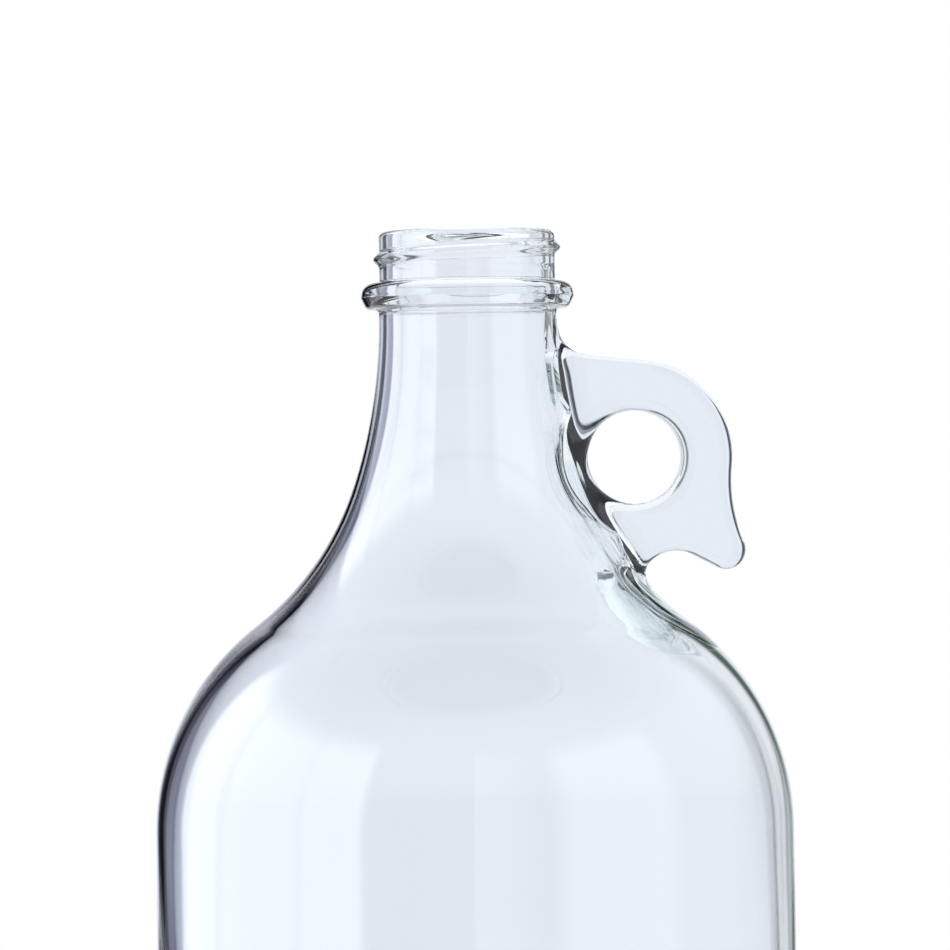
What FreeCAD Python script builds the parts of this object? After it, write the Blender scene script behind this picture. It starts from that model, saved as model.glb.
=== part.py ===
import FreeCAD, Part

import math
import os

from FreeCAD import Vector

# A half-gallon glass jug with a small ring handle, blown in one piece: a screw finish, a transfer
# bead, a long flared neck, a domed shoulder and a plain round body. All lengths are in millimetres.
# The jug's axis is Z, its base stands on z = 0, and the handle is on the +X side.

# Closest distance at which two points count as the same
TINY = 1e-4

# Whole jug
TOTAL_HEIGHT = 260.0
BODY_RADIUS = 63.5
NECK_WALL = 3.2
BODY_WALL = 3.6

# Screw finish: a smooth land with one turn of a rounded right-hand thread, 38 mm size
FINISH_RADIUS = 17.55
FINISH_HEIGHT = 10.2
RIM_ROUND = 1.2
THREAD_PITCH = 25.4 / 6
THREAD_CREST = 1.15
THREAD_WIDTH = 3.1
THREAD_SINK = 0.5
THREAD_START_DEG = 120.0
THREAD_TURNS = 1.05
THREAD_FADE_DEG = 35.0
THREAD_DEPTH_AT_RIGHT = 3.4

# Transfer bead below the finish, with the ridge that the neck mould's parting leaves
BEAD_RADIUS = 20.75
BEAD_RIDGE_RADIUS = 21.25
BEAD_RIDGE_DEPTH = 13.15
BEAD_LOWER_RADIUS = 20.15
BEAD_LOWER_DEPTH = 15.4
BEAD_TOP_ROUND = 2.3
BEAD_LOWER_ROUND = 1.1

# Neck and shoulder: three arcs that meet smoothly, two hollow and one domed
NECK_RADIUS = 17.72
NECK_TOP_DEPTH = 17.1
NECK_ARC = 104.3
NECK_ARC_DEG = 18.6
FLARE_ARC = 58.4
SHOULDER_ARC = 51.4

# Base: rounded heel, flat bearing ring and a pushed-up centre
HEEL_ROUND = 9.0
BEARING_WIDTH = 4.5
PUSH_UP_DEG = 12.0
PUSH_UP_ROUND = 6.0
PUSH_UP_STEP = 3.0
BASE_THICKNESS = 5.0
INNER_HEEL_ROUND = 11.0

# Ring handle, measured from the centre of its finger hole
HOLE_X = 32.8
HOLE_DEPTH = 45.5
HOLE_RADIUS = 9.3
HANDLE_RADIUS = 19.25
HANDLE_THICKNESS = 12.5
RING_SLOPE_DEG = 3.0
SADDLE_ARC = 25.0
SADDLE_DEG = -8.0
TAIL_DEG = 207.0
TAIL_ROUND = 3.2
UNDERSIDE_DEG = 157.6
TOP_ROOT_ROUND = 7.0
NOTCH_ROUND = 5.0
NOTCH_X = 40.1
FOOT_DEG = -46.0
FOOT_LENGTH = 8.0
ROOT_SINK = 1.0
EDGE_ROUND = 3.0
HOLE_EDGE_ROUND = 2.0
ROOT_ROUND = 2.5

# Glass around the handle's roots, on the inside: the hollow reaches into each root as a pocket, it
# bends round the finger hole, and a thick pad of glass backs the foot on the shoulder
HOLE_BOSS_RADIUS = 16.0
PAD_X = 38.2
PAD_DEPTH = 69.1
PAD_RADIUS = 14.0
UPPER_POCKET_MOUTH = (13.5, 31.0, 7.5)
UPPER_POCKET_TIP = (25.0, 33.2, 1.9)
LOWER_POCKET_MOUTH = (19.0, 65.0, 6.0)
LOWER_POCKET_TIP = (28.5, 65.2, 3.5)


class Outline:
    """A smooth outline drawn as a run of lines and tangent arcs, in the XZ plane."""

    def __init__(self, x, z, heading_deg):
        self.x = x
        self.z = z
        self.heading = math.radians(heading_deg)
        self.edges = []

    def aim(self, heading_deg):
        """Face a new direction, which leaves a corner."""
        self.heading = math.radians(heading_deg)

    def line_to(self, x, z):
        """Straight to a given point, which sets the heading."""
        self.edges.append(Part.makeLine(Vector(self.x, 0, self.z), Vector(x, 0, z)))
        self.heading = math.atan2(z - self.z, x - self.x)
        self.x = x
        self.z = z

    def forward(self, length):
        """Straight on along the heading."""
        x = self.x + length * math.cos(self.heading)
        z = self.z + length * math.sin(self.heading)
        self.line_to(x, z)

    def turn(self, radius, degrees):
        """A tangent arc: positive degrees turn left, negative turn right."""
        side = math.copysign(1.0, degrees)
        centre_x = self.x - side * radius * math.sin(self.heading)
        centre_z = self.z + side * radius * math.cos(self.heading)
        start = self.heading - side * math.pi / 2
        points = []
        for share in (0.0, 0.5, 1.0):
            angle = start + share * math.radians(degrees)
            points.append(Vector(centre_x + radius * math.cos(angle), 0, centre_z + radius * math.sin(angle)))
        self.edges.append(Part.Arc(*points).toShape())
        self.x = points[2].x
        self.z = points[2].z
        self.heading += math.radians(degrees)

    def rounded_corner(self, corner_x, corner_z, next_x, next_z, radius):
        """Straight towards a corner, round it, and stop at the end of the rounding."""
        before = math.atan2(corner_z - self.z, corner_x - self.x)
        after = math.atan2(next_z - corner_z, next_x - corner_x)
        bend = math.remainder(after - before, 2 * math.pi)
        setback = radius * math.tan(abs(bend) / 2)
        self.line_to(corner_x - setback * math.cos(before), corner_z - setback * math.sin(before))
        self.turn(radius, math.degrees(bend))

    def closed_face(self):
        """The face inside the outline, closed by a straight line back to its start."""
        start = self.edges[0].Vertexes[0].Point
        self.line_to(start.x, start.z)
        return Part.Face(Part.Wire(self.edges))


def revolved(face):
    """A solid of revolution about the jug's axis."""
    return face.revolve(Vector(0, 0, 0), Vector(0, 0, 1), 360)


def shoulder_angle(neck_radius, body_radius, neck_arc, flare_arc, shoulder_arc):
    """The slope, in degrees from vertical, where the flare turns into the domed shoulder."""
    neck_cos = math.cos(math.radians(NECK_ARC_DEG))
    spread = body_radius - neck_radius - neck_arc * (1 - neck_cos)
    return math.degrees(math.acos((flare_arc * neck_cos + shoulder_arc - spread) / (flare_arc + shoulder_arc)))


def draw_neck_and_shoulder(outline, neck_radius, body_radius, thickening):
    """Three tangent arcs from the straight neck down to the straight body wall.

    The thickening is the wall between this surface and the jug's outside.
    """
    neck_arc = NECK_ARC + thickening
    flare_arc = FLARE_ARC + thickening
    shoulder_arc = SHOULDER_ARC - thickening
    steepest = shoulder_angle(neck_radius, body_radius, neck_arc, flare_arc, shoulder_arc)
    outline.line_to(neck_radius, TOTAL_HEIGHT - NECK_TOP_DEPTH)
    outline.turn(neck_arc, NECK_ARC_DEG)
    outline.turn(flare_arc, steepest - NECK_ARC_DEG)
    outline.turn(shoulder_arc, -steepest)


def outer_body():
    """The jug's outside as a full solid, from the rim to the pushed-up base."""
    top = TOTAL_HEIGHT
    outline = Outline(0, top, 0)
    bead_top = top - FINISH_HEIGHT
    ridge = top - BEAD_RIDGE_DEPTH
    bead_end = top - BEAD_LOWER_DEPTH
    outline.rounded_corner(FINISH_RADIUS, top, FINISH_RADIUS, bead_top, RIM_ROUND)
    outline.line_to(FINISH_RADIUS, bead_top)
    outline.rounded_corner(BEAD_RADIUS, bead_top, BEAD_RIDGE_RADIUS, ridge, BEAD_TOP_ROUND)
    outline.line_to(BEAD_RIDGE_RADIUS, ridge)
    outline.rounded_corner(BEAD_LOWER_RADIUS, bead_end, NECK_RADIUS, bead_end, BEAD_LOWER_ROUND)
    outline.rounded_corner(NECK_RADIUS, bead_end, NECK_RADIUS, top - NECK_TOP_DEPTH, BEAD_LOWER_ROUND)
    draw_neck_and_shoulder(outline, NECK_RADIUS, BODY_RADIUS, 0.0)
    outline.line_to(BODY_RADIUS, HEEL_ROUND)
    outline.turn(HEEL_ROUND, -90)
    outline.forward(BEARING_WIDTH)
    outline.turn(PUSH_UP_ROUND, -PUSH_UP_DEG)
    outline.forward(PUSH_UP_STEP)
    outline.turn(outline.x / math.sin(math.radians(PUSH_UP_DEG)), PUSH_UP_DEG)
    return revolved(outline.closed_face())


def cavity():
    """The hollow inside, from above the rim down to the floor over the push-up."""
    top = TOTAL_HEIGHT
    bore = NECK_RADIUS - NECK_WALL
    inner_body = BODY_RADIUS - BODY_WALL
    outline = Outline(0, top + RIM_ROUND, 0)
    outline.line_to(bore + RIM_ROUND, top + RIM_ROUND)
    outline.line_to(bore + RIM_ROUND, top)
    outline.aim(180)
    outline.turn(RIM_ROUND, 90)
    draw_neck_and_shoulder(outline, bore, inner_body, BODY_WALL)
    outline.line_to(inner_body, BASE_THICKNESS + INNER_HEEL_ROUND)
    outline.turn(INNER_HEEL_ROUND, -90)
    outline.turn(PUSH_UP_ROUND, -PUSH_UP_DEG)
    outline.turn(outline.x / math.sin(math.radians(PUSH_UP_DEG)), PUSH_UP_DEG)
    return revolved(outline.closed_face())


def thread_height(angle_deg):
    """How far below the rim the thread's crest lies at an angle about the axis."""
    return TOTAL_HEIGHT - THREAD_DEPTH_AT_RIGHT + THREAD_PITCH * (angle_deg - 360.0) / 360.0


def thread():
    """One rounded right-hand thread whose ends sink smoothly into the finish wall."""
    end_deg = THREAD_START_DEG + 360.0 * THREAD_TURNS
    steps = 48
    path = []
    for step in range(steps + 1):
        angle_deg = THREAD_START_DEG + (end_deg - THREAD_START_DEG) * step / steps
        from_end = min(angle_deg - THREAD_START_DEG, end_deg - angle_deg)
        fade = min(1.0, from_end / THREAD_FADE_DEG)
        sink = (THREAD_CREST + THREAD_SINK) * (1 - fade * fade * (3 - 2 * fade))
        radius = FINISH_RADIUS - THREAD_SINK - sink
        angle = math.radians(angle_deg)
        path.append(Vector(radius * math.cos(angle), radius * math.sin(angle), thread_height(angle_deg)))
    curve = Part.BSplineCurve()
    curve.interpolate(path)
    start = math.radians(THREAD_START_DEG)
    outward = Vector(math.cos(start), math.sin(start), 0)
    root = path[0]
    low = root - Vector(0, 0, THREAD_WIDTH / 2)
    high = root + Vector(0, 0, THREAD_WIDTH / 2)
    crest = root + outward * (THREAD_CREST + THREAD_SINK)
    section = Part.Wire([Part.Arc(low, crest, high).toShape(), Part.makeLine(high, low)])
    pipe = Part.BRepOffsetAPI.MakePipeShell(Part.Wire([curve.toShape()]))
    pipe.setBiNormalMode(Vector(0, 0, 1))
    pipe.add(section)
    pipe.build()
    pipe.makeSolid()
    return pipe.shape()


def handle_plate():
    """The handle as a rounded plate: root, ring, thumb tail and the notch above the shoulder."""
    hole_z = TOTAL_HEIGHT - HOLE_DEPTH
    slope = math.radians(RING_SLOPE_DEG)
    underside = math.radians(UNDERSIDE_DEG)
    ring_x = HOLE_X + HANDLE_RADIUS * math.sin(slope)
    ring_z = hole_z + HANDLE_RADIUS * math.cos(slope)
    root_x = NECK_RADIUS - ROOT_SINK
    corner_z = ring_z + (ring_x - root_x) * math.tan(slope)
    root_top = corner_z + TOP_ROOT_ROUND + ROOT_SINK
    outline = Outline(root_x, root_top, -90)
    outline.rounded_corner(root_x, corner_z, ring_x, ring_z, TOP_ROOT_ROUND)
    outline.line_to(ring_x, ring_z)
    outline.turn(HANDLE_RADIUS, SADDLE_DEG + RING_SLOPE_DEG - 90)
    outline.turn(SADDLE_ARC, TAIL_DEG - 180 - SADDLE_DEG)
    outline.turn(TAIL_ROUND, UNDERSIDE_DEG - TAIL_DEG - 90)
    notch_top = NOTCH_X - NOTCH_ROUND * math.sin(underside - math.pi)
    outline.forward((notch_top - outline.x) / math.cos(underside))
    outline.turn(NOTCH_ROUND, 360 + FOOT_DEG - UNDERSIDE_DEG)
    outline.forward(FOOT_LENGTH)
    outline.line_to(0, outline.z)
    outline.line_to(0, root_top)
    face = outline.closed_face()
    face.translate(Vector(0, -HANDLE_THICKNESS / 2, 0))
    plate = face.extrude(Vector(0, HANDLE_THICKNESS, 0))
    shown = [edge for edge in plate.Edges if edge.BoundBox.YLength < TINY and edge.CenterOfMass.x > NECK_RADIUS]
    plate = plate.makeFillet(EDGE_ROUND, [edge for edge in shown if edge.BoundBox.XMin > TINY])
    plate = plate.cut(across_hole(HOLE_RADIUS, HANDLE_THICKNESS))
    rim = [edge for edge in plate.Edges if is_hole_edge(edge)]
    return plate.makeFillet(HOLE_EDGE_ROUND, rim)


def across_hole(radius, length):
    """A cylinder on the finger hole's axis."""
    centre = Vector(HOLE_X, -length / 2, TOTAL_HEIGHT - HOLE_DEPTH)
    return Part.makeCylinder(radius, length, centre, Vector(0, 1, 0))


def is_hole_edge(edge):
    """True for the two round edges of the finger hole."""
    if not isinstance(edge.Curve, Part.Circle):
        return False
    return abs(edge.Curve.Radius - HOLE_RADIUS) < TINY


def blend_root(jug, body, plate):
    """Round the line where the handle meets the neck and the shoulder."""
    root = []
    for edge in jug.Edges:
        middle = edge.valueAt((edge.FirstParameter + edge.LastParameter) / 2)
        if middle.x < 0 or abs(middle.y) < TINY:
            continue
        point = Part.Vertex(middle)
        on_body = point.distToShape(body.Shells[0])[0] < TINY
        on_plate = point.distToShape(plate.Shells[0])[0] < TINY
        if on_body and on_plate:
            root.append(edge)
    return jug.makeFillet(ROOT_ROUND, root)


def pocket(mouth, tip):
    """A round tapered finger of the hollow, from its mouth in the neck to its tip in the handle."""
    mouth_x, mouth_depth, mouth_radius = mouth
    tip_x, tip_depth, tip_radius = tip
    base = Vector(mouth_x, 0, TOTAL_HEIGHT - mouth_depth)
    end = Vector(tip_x, 0, TOTAL_HEIGHT - tip_depth)
    along = end - base
    cone = Part.makeCone(mouth_radius, tip_radius, along.Length, base, along)
    return cone.fuse(Part.makeSphere(tip_radius, end))


def hollow_inside():
    """The cavity, shaped round the handle's roots."""
    pad = Part.makeSphere(PAD_RADIUS, Vector(PAD_X, 0, TOTAL_HEIGHT - PAD_DEPTH))
    boss = across_hole(HOLE_BOSS_RADIUS, 2 * HANDLE_THICKNESS)
    upper = pocket(UPPER_POCKET_MOUTH, UPPER_POCKET_TIP)
    lower = pocket(LOWER_POCKET_MOUTH, LOWER_POCKET_TIP)
    return cavity().cut(pad).fuse([upper, lower]).cut(boss)


def glass_jug():
    """The whole jug as one solid."""
    body = outer_body()
    plate = handle_plate()
    jug = blend_root(body.fuse(plate), body, plate)
    return jug.fuse(thread()).cut(hollow_inside())


if __name__ == "__main__":
    os.makedirs("parts", exist_ok=True)
    glass_jug().exportStep("parts/jug.step")
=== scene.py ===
"""Looks of a clear glass jug with a ring handle: one closed glass mesh, a plain studio and a camera."""

import logging
import math
from dataclasses import dataclass, field
from enum import Enum
from typing import Callable

import bmesh
import bpy
import numpy as np
from mathutils import Matrix, Vector

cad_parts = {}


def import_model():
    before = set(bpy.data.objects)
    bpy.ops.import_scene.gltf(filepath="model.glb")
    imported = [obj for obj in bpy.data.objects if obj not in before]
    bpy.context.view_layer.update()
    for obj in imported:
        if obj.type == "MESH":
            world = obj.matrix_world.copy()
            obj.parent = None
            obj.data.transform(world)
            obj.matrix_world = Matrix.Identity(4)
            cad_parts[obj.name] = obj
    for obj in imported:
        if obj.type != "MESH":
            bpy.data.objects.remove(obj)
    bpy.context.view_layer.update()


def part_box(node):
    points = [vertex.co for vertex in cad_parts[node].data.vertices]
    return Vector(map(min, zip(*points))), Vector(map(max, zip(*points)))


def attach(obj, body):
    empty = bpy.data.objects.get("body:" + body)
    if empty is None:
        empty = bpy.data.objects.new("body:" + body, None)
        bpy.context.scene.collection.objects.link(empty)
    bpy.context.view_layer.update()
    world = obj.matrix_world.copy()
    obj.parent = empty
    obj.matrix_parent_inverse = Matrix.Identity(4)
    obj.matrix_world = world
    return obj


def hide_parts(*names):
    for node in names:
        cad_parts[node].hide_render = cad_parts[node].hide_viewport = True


LOG = logging.getLogger("glass_jug")

# One millimetre in metres
MM = 0.001

# Faces round the jug
COLUMNS = 128

# Lengths and differences below this count as nothing, in millimetres
TINY = 1e-9

PLAIN_WHITE = (1.0, 1.0, 1.0, 1.0)

# Leeway for rounding where a depth is looked up along an outline, in millimetres
ROUNDING = 1e-6

# Decimals of a millimetre to which the shared points of two patches agree
SHARED_DIGITS = 5

# Share of the way to the middle of its neighbours that a sliding point moves in one round
EASE = 0.5

# Steps that bring the sliding points onto the surface after the last round
LAST_ROUNDS = 3

Points = np.ndarray
Field = Callable[[Points], np.ndarray]


class Side(Enum):
    """The two flat sides of the handle, by the sign of Y."""

    FRONT = -1
    BACK = 1


# ---------------------------------------------------------------------------
# Outlines
# ---------------------------------------------------------------------------


@dataclass(frozen=True)
class Segment:
    """One straight or round stretch of an outline, in millimetres."""

    start: tuple[float, float]
    heading: float
    length: float
    bend: float
    spacing: float

    def at(self, share: float) -> tuple[float, float]:
        """The point a share of the way along."""
        return self.many(np.array([share]))[0]

    def many(self, shares: np.ndarray) -> np.ndarray:
        """Points at several shares of the length.

        Args:
            shares: values from 0, the start, to 1, the end.

        Returns:
            One row of two coordinates for each share.
        """
        if self.bend == 0.0:
            step = shares * self.length
            along = np.stack([np.cos(self.heading) * step, np.sin(self.heading) * step], axis=1)
            return np.array(self.start) + along
        radius, side = self.radius, math.copysign(1.0, self.bend)
        angle = self.heading - side * math.pi / 2 + shares * self.bend
        return self.centre + radius * np.stack([np.cos(angle), np.sin(angle)], axis=1)

    @property
    def radius(self) -> float:
        """Radius of a round stretch."""
        return self.length / abs(self.bend)

    @property
    def centre(self) -> np.ndarray:
        """Centre of a round stretch."""
        side = math.copysign(1.0, self.bend)
        offset = np.array([-math.sin(self.heading), math.cos(self.heading)]) * side * self.radius
        return np.array(self.start) + offset

    def distance(self, points: Points) -> tuple[np.ndarray, np.ndarray]:
        """How far points lie from this stretch, and on which side.

        Args:
            points: rows of two coordinates.

        Returns:
            The distance to the nearest point of the stretch, and the signed offset from its line
            or circle, positive on the left of the heading.
        """
        if self.bend == 0.0:
            along = np.array([math.cos(self.heading), math.sin(self.heading)])
            offset = points - np.array(self.start)
            step = np.clip(offset @ along, 0.0, self.length)
            nearest = np.array(self.start) + step[:, None] * along
            left = offset @ np.array([-along[1], along[0]])
            return np.linalg.norm(points - nearest, axis=1), left
        side = math.copysign(1.0, self.bend)
        offset = points - self.centre
        away = np.linalg.norm(offset, axis=1)
        first = self.heading - side * math.pi / 2
        turned = (np.arctan2(offset[:, 1], offset[:, 0]) - first) * side
        middle = abs(self.bend) / 2
        turned = (turned - middle + math.pi) % (2 * math.pi) - math.pi + middle
        inside = (turned >= 0) & (turned <= abs(self.bend))
        ends = self.many(np.array([0.0, 1.0]))
        to_ends = np.minimum(
            np.linalg.norm(points - ends[0], axis=1), np.linalg.norm(points - ends[1], axis=1)
        )
        return np.where(inside, np.abs(away - self.radius), to_ends), side * (self.radius - away)


@dataclass
class Outline:
    """A smooth outline drawn as a run of lines and tangent arcs, in millimetres."""

    x: float
    z: float
    heading_deg: float
    spacing: float = 1.0
    segments: list[Segment] = field(default_factory=list)

    def __post_init__(self) -> None:
        """Keeps the heading in radians."""
        self.heading = math.radians(self.heading_deg)

    def forward(self, length: float) -> None:
        """Straight on along the heading.

        Args:
            length: of the stretch, which is left out when there is nothing of it.
        """
        if length <= TINY:
            return
        self.segments.append(Segment((self.x, self.z), self.heading, length, 0.0, self.spacing))
        self.x += length * math.cos(self.heading)
        self.z += length * math.sin(self.heading)

    def line_to(self, x: float, z: float) -> None:
        """Straight to a given point, which sets the heading."""
        self.heading = math.atan2(z - self.z, x - self.x)
        self.forward(math.hypot(x - self.x, z - self.z))

    def turn(self, radius: float, degrees: float) -> None:
        """Round a tangent arc.

        Args:
            radius: of the arc.
            degrees: how far it turns, positive to the left and negative to the right.
        """
        bend = math.radians(degrees)
        segment = Segment((self.x, self.z), self.heading, radius * abs(bend), bend, self.spacing)
        self.segments.append(segment)
        self.x, self.z = segment.at(1.0)
        self.heading += bend

    def rounded_corner(
        self, corner: tuple[float, float], after: tuple[float, float], radius: float
    ) -> None:
        """Straight towards a corner, round it, and stop at the end of the rounding.

        Args:
            corner: where the two straight sides would meet.
            after: a point on the second side.
            radius: of the rounding.
        """
        first = math.atan2(corner[1] - self.z, corner[0] - self.x)
        second = math.atan2(after[1] - corner[1], after[0] - corner[0])
        bend = math.remainder(second - first, 2 * math.pi)
        setback = radius * math.tan(abs(bend) / 2)
        self.line_to(corner[0] - setback * math.cos(first), corner[1] - setback * math.sin(first))
        self.turn(radius, math.degrees(bend))

    def samples(self) -> Points:
        """Points along the whole outline, as close as each stretch asks for.

        Returns:
            One row of two coordinates for each point.
        """
        rows = []
        for segment in self.segments:
            count = max(1, round(segment.length / segment.spacing))
            rows.append(segment.many(np.arange(count) / count))
        rows.append(self.segments[-1].many(np.array([1.0])))
        return np.vstack(rows)

    def signed_distance(self, points: Points) -> np.ndarray:
        """How far points lie from the outline.

        Args:
            points: rows of two coordinates.

        Returns:
            The distances, positive on the outline's left and negative on its right.
        """
        nearest = np.full(len(points), np.inf)
        sign = np.ones(len(points))
        for segment in self.segments:
            away, left = segment.distance(points)
            closer = away < nearest - TINY
            nearest = np.where(closer, away, nearest)
            sign = np.where(closer, np.where(left >= 0, 1.0, -1.0), sign)
        return nearest * sign


# ---------------------------------------------------------------------------
# Sizes
# ---------------------------------------------------------------------------


@dataclass(frozen=True)
class Finish:
    """Screw finish and transfer bead, in millimetres below the rim."""

    bore_radius: float = 14.52
    mouth_depth: float = 7.0
    land_radius: float = 17.55
    land_depth: float = 10.2
    rim_round: float = 1.2
    bead_radius: float = 20.75
    ridge_radius: float = 21.25
    ridge_depth: float = 13.15
    bead_lower_radius: float = 20.15
    bead_lower_depth: float = 15.4
    bead_top_round: float = 2.3
    bead_lower_round: float = 1.1
    land_foot_round: float = 0.4
    ridge_round: float = 0.25
    neck_radius: float = 17.72
    neck_depth: float = 17.1


@dataclass(frozen=True)
class Thread:
    """One rounded right-hand thread on the finish, in millimetres and turns."""

    pitch: float = 25.4 / 6
    crest: float = 1.15
    width: float = 3.3
    first_turn: float = 120.0 / 360.0
    turns: float = 1.05
    fade_turns: float = 0.1
    depth_at_handle: float = 3.4


@dataclass(frozen=True)
class Vessel:
    """Neck, shoulder, body and base, in millimetres."""

    height: float
    body_radius: float
    wall: float = 3.6
    neck_arc: float = 104.3
    neck_arc_deg: float = 18.6
    flare_arc: float = 58.4
    shoulder_arc: float = 51.4
    heel_round: float = 9.0
    bearing_width: float = 4.5
    push_up_deg: float = 12.0
    push_up_round: float = 6.0
    push_up_step: float = 3.0
    base_thickness: float = 5.0
    inner_heel_round: float = 11.0


@dataclass(frozen=True)
class Spacing:
    """How far apart the points of each stretch of an outline are, in millimetres."""

    mouth: float = 0.45
    rim: float = 0.25
    land: float = 0.3
    bead: float = 0.2
    shoulder: float = 1.15
    hollow: float = 0.8
    body: float = 2.5
    heel: float = 0.8
    dome: float = 2.0
    plate: float = 0.8


@dataclass(frozen=True)
class Handle:
    """Ring handle in the XZ plane, in millimetres.

    X is measured from the jug's axis and depths from the rim, and the outline's headings are in
    degrees. Near the wall, within its root reach, the plate spreads by its root flare and its edges
    get rounder. The blend with the wall grows from the top blend to the root blend below the bead.
    """

    hole_x: float = 32.8
    hole_depth: float = 45.5
    hole_radius: float = 9.3
    ring_radius: float = 19.3
    ring_slope_deg: float = 6.0
    half_thickness: float = 6.25
    root_flare: float = 0.6
    root_reach: float = 5.0
    top_root_round: float = 7.0
    saddle_arc: float = 31.0
    saddle_deg: float = -6.0
    tail_deg: float = 202.5
    tail_round: float = 3.9
    underside_deg: float = 152.0
    notch_round: float = 7.0
    notch_x: float = 40.6
    foot_deg: float = -24.0
    edge_round: float = 1.4
    root_edge_round: float = 3.5
    hole_edge_blend: float = 2.4
    hole_wall_blend: float = 2.0
    top_blend: float = 0.6
    root_blend: float = 3.0
    blend_growth: float = 12.0
    top_depth: float = 17.6
    foot_depth: float = 76.0
    root_sink: float = 0.2
    root_lead: float = 1.0
    foot_turn: float = 2.0
    foot_end_deg: float = -85.0
    foot_length: float = 12.0
    depth_in_neck: float = 8.0


@dataclass(frozen=True)
class RootGlass:
    """How the hollow follows the handle's roots, in millimetres.

    The wall keeps its thickness into a root and closes within its reach past the neck. Beside the
    plate the hollow is released back to the plain neck.
    """

    wall: float = 3.2
    reach: float = 4.8
    closing: float = 2.4
    closing_power: int = 6
    closed_beyond: float = 8.0
    release: float = 1.8
    release_width: float = 4.0
    root_blend: float = 1.2
    boss_radius: float = 16.3
    pad_x: float = 43.0
    pad_depth: float = 65.0
    pad_radius: float = 20.0
    pad_top_depth: float = 69.0
    pad_blend: float = 3.0
    cut_blend: float = 1.2


# ---------------------------------------------------------------------------
# Shapes as distance fields
# ---------------------------------------------------------------------------


def smooth_min(first: np.ndarray, second: np.ndarray, blend: float) -> np.ndarray:
    """The lower of two fields, rounded where they meet.

    Args:
        first: one field's values.
        second: the other field's values.
        blend: the difference at which the rounding begins.

    Returns:
        The joined field's values.
    """
    share = np.clip(blend - np.abs(first - second), 0.0, None) / blend
    return np.minimum(first, second) - share * share * blend / 4


def smooth_max(first: np.ndarray, second: np.ndarray, blend: float) -> np.ndarray:
    """The higher of two fields, rounded where they meet."""
    return -smooth_min(-first, -second, blend)


def gradient(shape: Field, points: Points, step: float = 1e-3) -> np.ndarray:
    """How steeply a field rises, and in which direction.

    Args:
        shape: the field.
        points: rows of three coordinates.
        step: how far to look to each side.

    Returns:
        The steepest rise at each point, as rows of three.
    """
    rows = []
    for axis in range(3):
        shift = np.zeros(3)
        shift[axis] = step
        rows.append((shape(points + shift) - shape(points - shift)) / (2 * step))
    return np.stack(rows, axis=1)


def settle(
    shape: Field, points: Points, rounds: int = 1, reach: float = 1.5, least_rise: float = 0.05
) -> Points:
    """Moves points onto the surface where a field is zero.

    Args:
        shape: the field.
        points: where they start.
        rounds: how many Newton steps to take.
        reach: the furthest that one step goes.
        least_rise: the least squared slope that a step counts on.

    Returns:
        The moved points.
    """
    for _ in range(rounds):
        slope = gradient(shape, points)
        step = shape(points) / np.maximum((slope * slope).sum(axis=1), least_rise)
        points = points - slope * np.clip(step, -reach, reach)[:, None]
    return points


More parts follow.
